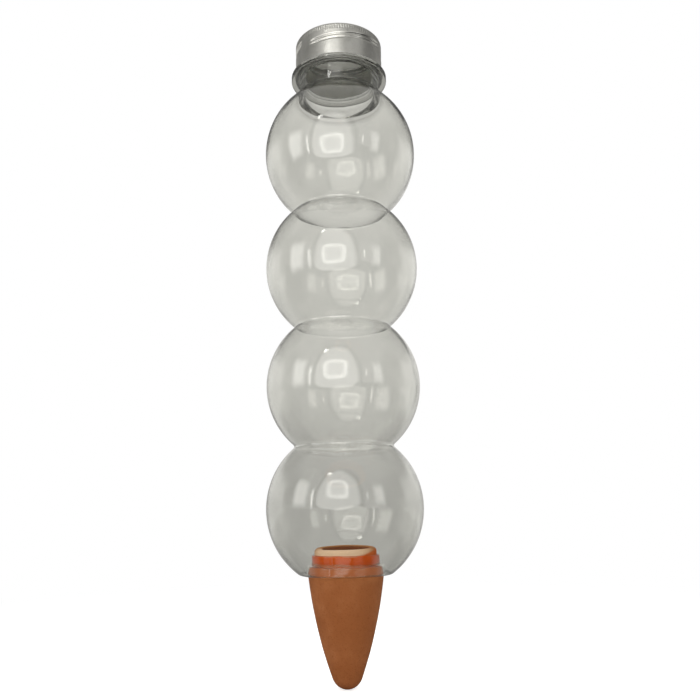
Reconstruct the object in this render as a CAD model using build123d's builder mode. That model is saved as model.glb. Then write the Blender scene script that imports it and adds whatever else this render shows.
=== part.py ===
from build123d import *
import math
import os

# Self watering spike, in millimetres. The axis is Z, and z = 0 is the bottle's base plane, at the soil line.

# Terracotta spike below the base plane
spike_depth = 42.3
shoulder_radius = 14.95
ogive_radius = 165.0
tip_radius = 6.2
clay_wall = 3.5

# Terracotta plug above the base plane
shoulder_height = 3.1
shoulder_inset = 0.9
plug_radius = 12.3
plug_height = 10.5
rim_round = 1.5
throat_drop = 1.3
throat_slope = 2.6

# Sealant between the plug and the bottle's collar
seal_gap = 0.4

# Bottle base
recess_clearance = 0.35
base_ring_width = 3.0
base_round = 0.9
collar_wall = 0.7
collar_height = 7.6

# Bulbs, from the bottom one to the top one, and the waists between them
bottom_bulb_radius = 31.4
second_bulb_radius = 31.5
third_bulb_radius = 31.9
top_bulb_radius = 32.4
lower_waist_radius = 19.7
middle_waist_radius = 19.35
upper_waist_radius = 19.2
bulb_wall = 0.4
waist_round = 0.5

# Neck, support flange and threaded finish
neck_radius = 17.45
bore_radius = 15.35
neck_length = 8.0
neck_round = 2.0
bore_round = 3.0
flange_width = 3.65
flange_thickness = 2.4
flange_round = 1.0
finish_height = 14.05
land_round = 0.5

# Three-start thread of a 38 mm closure
thread_starts = 3
thread_lead = 9.525
neck_thread_span = 150.0
neck_thread_angle = 179.0
neck_thread_drop = 1.6
thread_height = 1.15
thread_crest = 0.8
thread_foot = 1.4
thread_root_overlap = 0.4

# Aluminium screw cap
cap_sheet = 0.35
cap_clearance = 0.25
cap_edge_round = 1.3
cap_flange_gap = 0.4
cap_thread_span = 110.0
cap_thread_delay = 49.0
cap_ridge_height = 0.8
thread_clearance = 0.3
knurl_count = 108
knurl_height = 1.7
knurl_depth = 0.15
knurl_radius = 0.4

# Sealing liner in the cap
liner_thickness = 1.2
liner_overhang = 0.35

# Fits and places that follow from the sizes above
collar_bore = plug_radius + seal_gap
collar_radius = collar_bore + collar_wall
recess_depth = shoulder_height + seal_gap
recess_radius = shoulder_radius + recess_clearance
base_radius = recess_radius + base_ring_width
mouth_radius = plug_radius - clay_wall
clay_rim_round = min(rim_round, 0.45 * clay_wall)
inner_waist_round = waist_round + bulb_wall


def half_chord(sphere_radius, ring_radius):
    """Distance from a sphere's centre to the plane of a ring on it."""
    return math.sqrt(sphere_radius**2 - ring_radius**2)


lower_waist = half_chord(bottom_bulb_radius, base_radius) + half_chord(bottom_bulb_radius, lower_waist_radius)
second_bulb = lower_waist + half_chord(second_bulb_radius, lower_waist_radius)
middle_waist = second_bulb + half_chord(second_bulb_radius, middle_waist_radius)
third_bulb = middle_waist + half_chord(third_bulb_radius, middle_waist_radius)
upper_waist = third_bulb + half_chord(third_bulb_radius, upper_waist_radius)
top_bulb = upper_waist + half_chord(top_bulb_radius, upper_waist_radius)
bottom_bulb = half_chord(bottom_bulb_radius, base_radius)
neck_foot = top_bulb + half_chord(top_bulb_radius, neck_radius)
bulbs = [
    (bottom_bulb, bottom_bulb_radius),
    (second_bulb, second_bulb_radius),
    (third_bulb, third_bulb_radius),
    (top_bulb, top_bulb_radius),
]
waists = [
    (lower_waist, lower_waist_radius),
    (middle_waist, middle_waist_radius),
    (upper_waist, upper_waist_radius),
]

flange_radius = neck_radius + flange_width
flange_edge_round = min(flange_round, 0.45 * flange_thickness)
widest = max([flange_radius] + [radius for height, radius in bulbs])
flange_under = neck_foot + neck_length
flange_top = flange_under + flange_thickness
land = flange_top + finish_height
thread_radius = neck_radius + thread_height
thread_pitch = thread_lead / thread_starts
neck_thread_rise = thread_lead * neck_thread_span / 360
neck_thread_start = land - neck_thread_drop - neck_thread_rise

liner_radius = neck_radius + liner_overhang
liner_top = land + liner_thickness
cap_inner_radius = thread_radius + cap_clearance
cap_radius = cap_inner_radius + cap_sheet
cap_top = liner_top + cap_sheet
cap_bottom = flange_top + cap_flange_gap
cap_thread_rise = thread_lead * cap_thread_span / 360
cap_thread_start = neck_thread_start + thread_lead * cap_thread_delay / 360 - thread_pitch / 2
cap_thread_angle = neck_thread_angle + cap_thread_delay


def thread_gap(radius):
    """Width left for the cap's ridge between two turns of the neck's thread, at a radius."""
    share = (radius - neck_radius) / thread_height
    return thread_pitch - thread_foot - (thread_crest - thread_foot) * share - 2 * thread_clearance


cap_ridge_radius = cap_inner_radius - cap_ridge_height
cap_ridge_foot = thread_gap(cap_inner_radius)
cap_ridge_crest = thread_gap(cap_ridge_radius)
cap_groove_radius = cap_radius - cap_ridge_height
cap_groove_mouth = cap_ridge_foot
cap_groove_floor = cap_ridge_crest - 2 * cap_sheet


def corner(sketch, radius, height):
    """The vertex of a half section nearest to a radius and a height."""
    return sketch.vertices().sort_by_distance((radius, height))[0]


def spike_outline(inset):
    """Tip centre, where the tip meets the ogive, a point halfway up the ogive, and the ogive's centre."""
    tip_centre = tip_radius - spike_depth
    reach = ogive_radius - tip_radius
    span = math.hypot(shoulder_radius, tip_centre)
    along = (ogive_radius**2 - reach**2 + span**2) / (2 * span)
    across = math.sqrt(ogive_radius**2 - along**2)
    towards = Vector(-shoulder_radius, tip_centre) / span
    centre = Vector(shoulder_radius, 0) + towards * along + Vector(towards.Y, -towards.X) * across
    down = (Vector(0, tip_centre) - centre).normalized()
    up = (Vector(shoulder_radius, 0) - centre).normalized()
    halfway = (down + up).normalized()
    joint = centre + down * (ogive_radius - inset)
    middle = centre + halfway * (ogive_radius - inset)
    return tip_centre, joint, middle, centre


# Terracotta spike: point, shoulder and plug outside, an even wall inside
tip_centre, tip_joint, ogive_middle, ogive_centre = spike_outline(0)
_, hollow_joint, hollow_middle, _ = spike_outline(clay_wall)
tip_middle = Vector(0, tip_centre) + Vector(1, -1).normalized() * tip_radius
hollow_tip_middle = Vector(0, tip_centre) + Vector(1, -1).normalized() * (tip_radius - clay_wall)
throat_foot = -throat_drop - throat_slope
hollow_top_drop = throat_foot - ogive_centre.Y
hollow_top = ogive_centre.X + half_chord(ogive_radius - clay_wall, hollow_top_drop)

with BuildPart() as terracotta_spike:
    with BuildSketch(Plane.XZ) as clay_outside:
        with BuildLine():
            ThreePointArc((0, -spike_depth), tip_middle, tip_joint)
            ThreePointArc(tip_joint, ogive_middle, (shoulder_radius, 0))
            Polyline(
                (shoulder_radius, 0),
                (shoulder_radius - shoulder_inset, shoulder_height),
                (plug_radius, shoulder_height),
                (plug_radius, plug_height),
                (0, plug_height),
                (0, -spike_depth),
            )
        make_face()
        fillet(corner(clay_outside, plug_radius, plug_height), clay_rim_round)
    revolve(axis=Axis.Z)
    with BuildSketch(Plane.XZ):
        with BuildLine():
            ThreePointArc((0, clay_wall - spike_depth), hollow_tip_middle, hollow_joint)
            ThreePointArc(hollow_joint, hollow_middle, (hollow_top, throat_foot))
            Polyline(
                (hollow_top, throat_foot),
                (mouth_radius, -throat_drop),
                (mouth_radius, plug_height),
                (0, plug_height),
                (0, clay_wall - spike_depth),
            )
        make_face()
    revolve(axis=Axis.Z, mode=Mode.SUBTRACT)
    mouth_edges = terracotta_spike.edges().filter_by(GeomType.CIRCLE).group_by(Axis.Z)[-1]
    fillet(mouth_edges.sort_by(SortBy.RADIUS)[0], clay_rim_round)
terracotta_spike.part.label = "terracotta_spike"

# Sealant: a washer on the clay shoulder and a sleeve up the plug
with BuildPart() as spike_seal:
    with BuildSketch(Plane.XZ):
        with BuildLine():
            Polyline(
                (plug_radius, shoulder_height),
                (shoulder_radius - shoulder_inset, shoulder_height),
                (shoulder_radius - shoulder_inset, recess_depth),
                (collar_bore, recess_depth),
                (collar_bore, collar_height),
                (plug_radius, collar_height),
                close=True,
            )
        make_face()
    revolve(axis=Axis.Z)
spike_seal.part.label = "spike_seal"

# One ridge of the neck's thread, from its lower end on the X axis
with BuildPart() as neck_ridge:
    with BuildLine() as neck_helix:
        Helix(thread_lead, neck_thread_rise, neck_radius, center=(0, 0, neck_thread_start))
    with BuildSketch(Plane.XZ):
        with BuildLine():
            Polyline(
                (neck_radius - thread_root_overlap, neck_thread_start - thread_foot / 2),
                (neck_radius, neck_thread_start - thread_foot / 2),
                (thread_radius, neck_thread_start - thread_crest / 2),
                (thread_radius, neck_thread_start + thread_crest / 2),
                (neck_radius, neck_thread_start + thread_foot / 2),
                (neck_radius - thread_root_overlap, neck_thread_start + thread_foot / 2),
                close=True,
            )
        make_face()
    sweep(path=neck_helix.line, is_frenet=True)

# Bottle: bulbs, base with its collar, neck, flange and thread, as one moulding
with BuildPart() as bottle:
    with BuildSketch(Plane.XZ) as outside:
        for height, radius in bulbs:
            with Locations((0, height)):
                Circle(radius)
        with Locations((0, top_bulb)):
            Rectangle(2 * neck_radius, land - top_bulb, align=(Align.CENTER, Align.MIN))
        with Locations((0, flange_under)):
            Rectangle(2 * flange_radius, flange_thickness, align=(Align.CENTER, Align.MIN))
        Rectangle(widest, land, align=(Align.MIN, Align.MIN), mode=Mode.INTERSECT)
        Rectangle(recess_radius, recess_depth, align=(Align.MIN, Align.MIN), mode=Mode.SUBTRACT)
        Rectangle(collar_bore, collar_height, align=(Align.MIN, Align.MIN), mode=Mode.SUBTRACT)
        fillet(corner(outside, base_radius, 0), base_round)
        fillet(corner(outside, recess_radius, 0), base_round)
        fillet([corner(outside, radius, height) for height, radius in waists], waist_round)
        fillet(corner(outside, neck_radius, neck_foot), neck_round)
        fillet(corner(outside, flange_radius, flange_under), flange_edge_round)
        fillet(corner(outside, flange_radius, flange_top), flange_edge_round)
        fillet(corner(outside, neck_radius, land), land_round)
    revolve(axis=Axis.Z)
    with BuildSketch(Plane.XZ) as inside:
        for height, radius in bulbs:
            with Locations((0, height)):
                Circle(radius - bulb_wall)
        with Locations((0, top_bulb)):
            Rectangle(2 * bore_radius, land - top_bulb, align=(Align.CENTER, Align.MIN))
        with Locations((0, bulb_wall)):
            Rectangle(widest, land - bulb_wall, align=(Align.MIN, Align.MIN), mode=Mode.INTERSECT)
        Rectangle(
            recess_radius + bulb_wall,
            recess_depth + bulb_wall,
            align=(Align.MIN, Align.MIN),
            mode=Mode.SUBTRACT,
        )
        Rectangle(collar_radius, collar_height, align=(Align.MIN, Align.MIN), mode=Mode.SUBTRACT)
        for height, radius in waists:
            fillet(corner(inside, radius - bulb_wall, height), inner_waist_round)
        fillet(corner(inside, bore_radius, neck_foot), bore_round)
    revolve(axis=Axis.Z, mode=Mode.SUBTRACT)
    with PolarLocations(0, thread_starts, start_angle=neck_thread_angle):
        add(neck_ridge.part)
bottle.part.label = "bottle"

# The rolled thread of the cap: a ridge inside, and the groove that the roller leaves outside
with BuildPart() as cap_ridge:
    with BuildLine() as cap_ridge_helix:
        Helix(thread_lead, cap_thread_rise, cap_inner_radius, center=(0, 0, cap_thread_start))
    with BuildSketch(Plane.XZ):
        with BuildLine():
            Polyline(
                (cap_inner_radius + cap_sheet / 2, cap_thread_start - cap_ridge_foot / 2),
                (cap_inner_radius, cap_thread_start - cap_ridge_foot / 2),
                (cap_ridge_radius, cap_thread_start - cap_ridge_crest / 2),
                (cap_ridge_radius, cap_thread_start + cap_ridge_crest / 2),
                (cap_inner_radius, cap_thread_start + cap_ridge_foot / 2),
                (cap_inner_radius + cap_sheet / 2, cap_thread_start + cap_ridge_foot / 2),
                close=True,
            )
        make_face()
    sweep(path=cap_ridge_helix.line, is_frenet=True)

with BuildPart() as cap_groove:
    with BuildLine() as cap_groove_helix:
        Helix(thread_lead, cap_thread_rise, cap_radius, center=(0, 0, cap_thread_start))
    with BuildSketch(Plane.XZ):
        with BuildLine():
            Polyline(
                (cap_radius + cap_sheet, cap_thread_start - cap_groove_mouth / 2),
                (cap_radius, cap_thread_start - cap_groove_mouth / 2),
                (cap_groove_radius, cap_thread_start - cap_groove_floor / 2),
                (cap_groove_radius, cap_thread_start + cap_groove_floor / 2),
                (cap_radius, cap_thread_start + cap_groove_mouth / 2),
                (cap_radius + cap_sheet, cap_thread_start + cap_groove_mouth / 2),
                close=True,
            )
        make_face()
    sweep(path=cap_groove_helix.line, is_frenet=True)

# Screw cap: a drawn sheet cup with a knurled upper edge and the rolled thread
with BuildPart() as screw_cap:
    with BuildSketch(Plane.XZ) as cap_outside:
        with Locations((0, cap_bottom)):
            Rectangle(cap_radius, cap_top - cap_bottom, align=(Align.MIN, Align.MIN))
        fillet(corner(cap_outside, cap_radius, cap_top), cap_edge_round)
    revolve(axis=Axis.Z)
    with BuildSketch(Plane.XZ) as cap_inside:
        with Locations((0, cap_bottom)):
            Rectangle(cap_inner_radius, liner_top - cap_bottom, align=(Align.MIN, Align.MIN))
        fillet(corner(cap_inside, cap_inner_radius, liner_top), cap_edge_round - cap_sheet)
    revolve(axis=Axis.Z, mode=Mode.SUBTRACT)
    with PolarLocations(0, thread_starts, start_angle=cap_thread_angle):
        add(cap_ridge.part)
    with PolarLocations(0, thread_starts, start_angle=cap_thread_angle):
        add(cap_groove.part, mode=Mode.SUBTRACT)
    with BuildSketch(Plane.XY.offset(cap_top - cap_edge_round)):
        with PolarLocations(cap_radius + knurl_radius - knurl_depth, knurl_count):
            Circle(knurl_radius)
    extrude(amount=-knurl_height, mode=Mode.SUBTRACT)
screw_cap.part.label = "screw_cap"

# Liner: a soft disc between the cap's panel and the neck's land
with BuildPart() as cap_liner:
    with BuildSketch(Plane.XY.offset(land)):
        Circle(liner_radius)
    extrude(amount=liner_thickness)
cap_liner.part.label = "cap_liner"

os.makedirs("parts", exist_ok=True)
export_step(bottle.part, "parts/bottle.step")
export_step(spike_seal.part, "parts/spike_seal.step")
export_step(terracotta_spike.part, "parts/terracotta_spike.step")
export_step(screw_cap.part, "parts/screw_cap.step")
export_step(cap_liner.part, "parts/cap_liner.step")
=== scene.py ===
"""Looks of the self watering spike: a clear bottle of four bulbs, a clay spike and a screw cap."""

import logging
import math
from abc import ABC, abstractmethod
from dataclasses import dataclass, field
from enum import Enum
from typing import ClassVar

import bpy
import numpy as np
from mathutils import Matrix, Vector, noise


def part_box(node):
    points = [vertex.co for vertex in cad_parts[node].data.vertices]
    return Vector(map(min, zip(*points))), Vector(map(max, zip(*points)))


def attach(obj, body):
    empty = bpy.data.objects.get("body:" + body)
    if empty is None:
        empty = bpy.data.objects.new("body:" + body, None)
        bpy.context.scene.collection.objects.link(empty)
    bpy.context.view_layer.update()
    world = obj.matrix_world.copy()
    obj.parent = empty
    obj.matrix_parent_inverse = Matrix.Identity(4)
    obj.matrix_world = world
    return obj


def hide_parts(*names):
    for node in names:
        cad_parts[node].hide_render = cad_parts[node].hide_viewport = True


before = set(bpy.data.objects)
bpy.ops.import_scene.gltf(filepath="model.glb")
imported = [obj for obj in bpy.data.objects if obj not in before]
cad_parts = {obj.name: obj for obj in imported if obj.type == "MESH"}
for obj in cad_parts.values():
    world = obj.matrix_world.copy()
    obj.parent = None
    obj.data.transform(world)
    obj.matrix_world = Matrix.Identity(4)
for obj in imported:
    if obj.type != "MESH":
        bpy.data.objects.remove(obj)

log = logging.getLogger("self_watering_spike")

Point = tuple[float, float]
Ramp = tuple[Point, Point]
Place = tuple[float, float, float]
Colour = tuple[float, float, float]
Moved = tuple[np.ndarray, np.ndarray]
Socket = bpy.types.NodeSocket

# Ends of a share that grows and of one that fades.
RISING: Point = (0.0, 1.0)
FALLING: Point = (1.0, 0.0)
WHITE: Colour = (1.0, 1.0, 1.0)
WARM_WHITE: Colour = (1.0, 0.99, 0.95)
# Points nearer than this, in metres, count as one.
NEAR = 2e-6
# Side of the plug's rim that is worn pale.
WORN_SIDE = math.radians(-105.0)


class Body(Enum):
    """The bodies of the frame that a piece can ride on."""

    BOTTLE = "bottle"
    LINER = "liner"
    CAP = "cap"


class Slot(Enum):
    """The material slots of the record."""

    PLASTIC = "clear_plastic"
    SEALANT = "clear_sealant"
    CLAY = "terracotta"
    ALUMINIUM = "cap_aluminium"
    FOAM = "liner_foam"


def srgb(red: int, green: int, blue: int) -> Colour:
    """Turns a colour of 0 to 255, as seen on a screen, into linear light."""
    parts = (value / 255 for value in (red, green, blue))
    return tuple(v / 12.92 if v <= 0.04045 else ((v + 0.055) / 1.055) ** 2.4 for v in parts)


def smooth(share: np.ndarray) -> np.ndarray:
    """Eases a share from 0 to 1, flat at both ends."""
    held = np.clip(share, 0.0, 1.0)
    return held * held * (3.0 - 2.0 * held)


def arc(centre: Point, radius: float, start: float, end: float, steps: int) -> list[Point]:
    """Places points on an arc of the half section, by degrees counter-clockwise from outwards."""
    turns = [math.radians(start + (end - start) * step / steps) for step in range(steps + 1)]
    return [(centre[0] + radius * math.cos(a), centre[1] + radius * math.sin(a)) for a in turns]


def rows(start: Point, end: Point, count: int) -> list[Point]:
    """Places points on a straight stretch, both ends included, a count of even steps apart."""
    shares = [step / count for step in range(count + 1)]
    return [(start[0] + (end[0] - start[0]) * s, start[1] + (end[1] - start[1]) * s) for s in shares]


def rounded(corners: list[Point], rounds: list[float], steps: int) -> list[Point]:
    """Rounds the inner corners of a chain of straight stretches.

    Args:
        corners: The chain's points.
        rounds: Radius at each inner corner, so two fewer than the corners.
        steps: Number of chords on each round.

    Returns:
        The chain's points with an arc in place of each inner corner.
    """
    chain = [corners[0]]
    for before, corner, after, radius in zip(corners, corners[1:], corners[2:], rounds):
        here = Vector(corner)
        back = (Vector(before) - here).normalized()
        ahead = (Vector(after) - here).normalized()
        half = back.angle(ahead) / 2
        centre = here + (back + ahead).normalized() * (radius / math.sin(half))
        first = here + back * (radius / math.tan(half)) - centre
        last = here + ahead * (radius / math.tan(half)) - centre
        start = math.degrees(math.atan2(first.y, first.x))
        sweep = math.degrees(math.atan2(last.y, last.x)) - start
        sweep = (sweep + 180.0) % 360.0 - 180.0
        chain += arc((centre.x, centre.y), radius, start, start + sweep, steps)
    return chain + [corners[-1]]


def turn_on_lathe(name: str, outline: list[Point], steps: int) -> bpy.types.Object:
    """Draws a half section point by point and spins it round the Z axis.

    Args:
        name: Name of the new piece.
        outline: Radius and height of each point, in order; a closed wall ends on its first point.
        steps: Number of steps round the axis.

    Returns:
        The turned piece, at the origin.
    """
    bpy.ops.object.select_all(action="DESELECT")
    bpy.ops.mesh.primitive_plane_add(size=0.001, location=(0.0, 0.0, 0.0))
    piece = bpy.context.object
    piece.name = name
    piece.data.name = name
    bpy.ops.object.mode_set(mode="EDIT")
    bpy.ops.mesh.select_all(action="SELECT")
    bpy.ops.mesh.merge(type="CENTER")
    bpy.ops.transform.translate(value=(outline[0][0], 0.0, outline[0][1]))
    for here, there in zip(outline, outline[1:]):
        step = (there[0] - here[0], 0.0, there[1] - here[1])
        bpy.ops.mesh.extrude_region_move(TRANSFORM_OT_translate={"value": step})
    bpy.ops.mesh.select_all(action="SELECT")
    bpy.ops.mesh.spin(steps=steps, angle=math.tau, center=(0.0, 0.0, 0.0), axis=(0.0, 0.0, 1.0))
    bpy.ops.mesh.select_all(action="SELECT")
    bpy.ops.mesh.remove_doubles(threshold=NEAR)
    bpy.ops.mesh.normals_make_consistent(inside=False)
    bpy.ops.object.mode_set(mode="OBJECT")
    return piece


@dataclass(frozen=True)
class Pattern:
    """A noise pattern: its patches to the metre, its finer layers and the levels where it shows."""

    scale: float
    detail: float
    levels: Point


class Recipe:
    """The node tree of a material or of the world, as it is put together."""

    def __init__(self, owner: bpy.types.Material | bpy.types.World) -> None:
        """Starts on the owner's tree, emptied.

        Args:
            owner: The material or world that the tree belongs to.
        """
        owner.use_nodes = True
        self.owner = owner
        self.tree = owner.node_tree
        self.tree.nodes.clear()
        self.place = self.node("ShaderNodeTexCoord", {}).outputs["Object"]

    @classmethod
    def named(cls, name: str) -> "Recipe":
        """Starts on a new material with a name."""
        return cls(bpy.data.materials.new(name))

    def feed(self, socket: Socket, value: object) -> None:
        """Links a socket to another one, or sets its value.

        Args:
            socket: The socket that takes the value.
            value: Another socket, a number, a vector or a colour.
        """
        if isinstance(value, Socket):
            self.tree.links.new(value, socket)
        elif socket.type == "RGBA":
            socket.default_value = (*value[:3], 1.0)
        else:
            socket.default_value = value

    def node(self, kind: str, inputs: dict[str | int, object], **options: object) -> bpy.types.Node:
        """Adds a node.

        Args:
            kind: The node's type.
            inputs: Value or socket for each input, by its name or its place.
            options: The node's own settings.

        Returns:
            The new node.
        """
        node = self.tree.nodes.new(kind)
        for name, value in options.items():
            setattr(node, name, value)
        for name, value in inputs.items():
            self.feed(node.inputs[name], value)
        return node

    def grain(self, scale: float, detail: float, vector: Socket | None = None) -> Socket:
        """Adds a noise pattern, by its patches to the metre and its finer layers, and gives its level."""
        values = {"Vector": vector or self.place, "Scale": scale, "Detail": detail, "Roughness": 0.55}
        return self.node("ShaderNodeTexNoise", values).outputs["Fac"]

    def between(self, level: Socket, low: Point, high: Point = RISING) -> Socket:
        """Maps a level from one range onto another, eased at both ends.

        Args:
            level: The level to map.
            low: The range that it comes from.
            high: The range that it goes to.

        Returns:
            The mapped level.
        """
        ends = {"From Min": low[0], "From Max": low[1], "To Min": high[0], "To Max": high[1]}
        values = {"Value": level, **ends}
        return self.node("ShaderNodeMapRange", values, interpolation_type="SMOOTHSTEP").outputs["Result"]

    def pattern(self, pattern: Pattern, high: Point = RISING) -> Socket:
        """Adds a noise pattern that runs from one level to another where it shows."""
        return self.between(self.grain(pattern.scale, pattern.detail), pattern.levels, high)

    def calc(self, operation: str, first: object, second: object = 0.0) -> Socket:
        """Works out a sum, by its name, on two numbers or sockets."""
        return self.node("ShaderNodeMath", {0: first, 1: second}, operation=operation).outputs[0]

    def times(self, first: object, second: object) -> Socket:
        """Multiplies two numbers or sockets."""
        return self.calc("MULTIPLY", first, second)

    def blend(self, share: object, first: object, second: object) -> Socket:
        """Mixes two colours, by the share of the second."""
        return self.node("ShaderNodeMix", {0: share, 6: first, 7: second}, data_type="RGBA").outputs[2]

    def mix(self, share: object, first: object, second: object) -> Socket:
        """Mixes two levels, by the share of the second."""
        return self.node("ShaderNodeMix", {0: share, 2: first, 3: second}, data_type="FLOAT").outputs[0]

    def mix_shaders(self, share: object, first: Socket, second: Socket) -> Socket:
        """Mixes two shaders, by the share of the second."""
        return self.node("ShaderNodeMixShader", {0: share, 1: first, 2: second}).outputs["Shader"]

    def principled(self, inputs: dict[str, object]) -> Socket:
        """Adds the main surface shader with its inputs."""
        return self.node("ShaderNodeBsdfPrincipled", inputs).outputs["BSDF"]

    def split(self, vector: Socket) -> tuple[Socket, ...]:
        """Gives a vector's three parts."""
        return tuple(self.node("ShaderNodeSeparateXYZ", {"Vector": vector}).outputs)

    def round_axis(self) -> tuple[Socket, Socket, Socket]:
        """Reads each point's place round the Z axis.

        Returns:
            The distance from the axis, the angle round it and the height.
        """
        x, y, z = self.split(self.place)
        squares = [self.calc("POWER", side, 2.0) for side in (x, y)]
        radius = self.calc("SQRT", self.calc("ADD", *squares))
        return radius, self.calc("ARCTAN2", y, x), z

    def paths(self) -> tuple[Socket, Socket, Socket]:
        """Tells the rays apart by the way they came.

        Returns:
            The shares of rays from the eye, of rays mirrored on the way and of rays seen through plastic.
        """
        ray = self.node("ShaderNodeLightPath", {}).outputs
        direct = self.calc("LESS_THAN", ray["Diffuse Depth"], 0.5)
        mirrored = self.times(direct, self.calc("GREATER_THAN", ray["Glossy Depth"], 0.5))
        through = self.times(ray["Is Transmission Ray"], self.calc("SUBTRACT", direct, mirrored))
        return ray["Is Camera Ray"], mirrored, through

    def relief(self, height: Socket, depth: float, under: Socket | None = None) -> Socket:
        """Adds fine relief to the surface.

        Args:
            height: The relief's level.
            depth: How deep it goes, in metres.
            under: Another relief below it.

        Returns:
            The surface's direction with the relief.
        """
        values = {"Height": height, "Distance": depth, "Strength": 1.0}
        if under is not None:
            values["Normal"] = under
        return self.node("ShaderNodeBump", values).outputs["Normal"]

    def finish(self, surface: Socket, volume: Socket | None = None) -> bpy.types.Material | bpy.types.World:
        """Joins the shaders to the tree's output.

        Args:
            surface: The surface shader.
            volume: The volume shader, for clear pieces.

        Returns:
            The finished material or world.
        """
        world = isinstance(self.owner, bpy.types.World)
        kind = "ShaderNodeOutputWorld" if world else "ShaderNodeOutputMaterial"
        output = self.node(kind, {"Surface": surface})
        if volume is not None:
            self.feed(output.inputs["Volume"], volume)
        return self.owner


class Finish(ABC):
    """A surface that a piece can be dressed in."""

    @abstractmethod
    def material(self) -> bpy.types.Material:
        """Makes the material."""


@dataclass(frozen=True)
class ClearFinish(Finish):
    """A clear plastic or sealant: smoky where blown thin, clear where thick, with faint ripples."""

    name: str
    tint: Colour
    haze: Colour
    clear: Colour
    absorbed: Colour
    density: float
    ior: float
    gloss: Point
    ripple: float
    ripple_depth: float
    passed: Colour
    clouds: Pattern = Pattern(45.0, 2.0, (0.35, 0.7))
    scuffs: Pattern = Pattern(900.0, 4.0, (0.45, 0.75))
    edge_tint: Colour = (0.26, 0.26, 0.25)
    edge_on: Point = (0.70, 0.93)
    collar_radius: float = 0.0162
    collar_top: float = 0.0090
    neck: Point = (0.2010, 0.2050)
    still: float = 0.5
    # Painted shade: the ring where the top bulb meets the neck is tinted darker grey.
    throat_painted_shade: Colour = (0.80, 0.80, 0.785)
    throat_foot: Point = (0.2016, 0.2028)
    throat_top: Point = (0.2070, 0.2086)
    # Painted shade: the flange's outer ring is tinted dark grey.
    flange_painted_shade: Colour = (0.42, 0.42, 0.40)
    flange: Point = (0.0180, 0.0186)

    def material(self) -> bpy.types.Material:
        """Makes the clear material, tinted on its faces and in its depth.

        Returns:
            The finished material.
        """
        recipe = Recipe.named(self.name)
        radius, _, height = recipe.round_axis()
        low = recipe.calc("LESS_THAN", height, self.collar_top)
        collar = recipe.times(recipe.calc("LESS_THAN", radius, self.collar_radius), low)
        neck = recipe.between(height, self.neck)
        # Painted shade: share of the darker tint on the throat's ring.
        throat = recipe.between(height, self.throat_foot)
        throat = recipe.times(throat, recipe.between(height, self.throat_top, FALLING))
        # Painted shade: share of the dark tint on the flange's outer ring.
        flange = recipe.times(recipe.between(radius, self.flange), neck)
        facing = recipe.node("ShaderNodeLayerWeight", {"Blend": 0.5}).outputs["Facing"]
        colour = recipe.blend(recipe.pattern(self.clouds), self.tint, self.haze)
        colour = recipe.blend(recipe.between(facing, self.edge_on), colour, self.edge_tint)
        colour = recipe.blend(recipe.calc("MAXIMUM", collar, neck), colour, self.clear)
        colour = recipe.blend(throat, colour, self.throat_painted_shade)
        ripples = recipe.mix(neck, recipe.grain(self.ripple, 1.0), self.still)
        surface = recipe.principled(
            {
                "Base Color": recipe.blend(flange, colour, self.flange_painted_shade),
                "Roughness": recipe.pattern(self.scuffs, self.gloss),
                "IOR": self.ior,
                "Transmission Weight": 1.0,
                "Normal": recipe.relief(ripples, self.ripple_depth),
            }
        )
        depth = recipe.node("ShaderNodeVolumeAbsorption", {"Color": self.absorbed, "Density": self.density})
        ray = recipe.node("ShaderNodeLightPath", {}).outputs
        lamp = recipe.calc("MAXIMUM", ray["Is Shadow Ray"], ray["Is Diffuse Ray"])
        passing = recipe.node("ShaderNodeBsdfTransparent", {"Color": self.passed}).outputs["BSDF"]
        return recipe.finish(recipe.mix_shaders(lamp, surface, passing), depth.outputs["Volume"])


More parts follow.
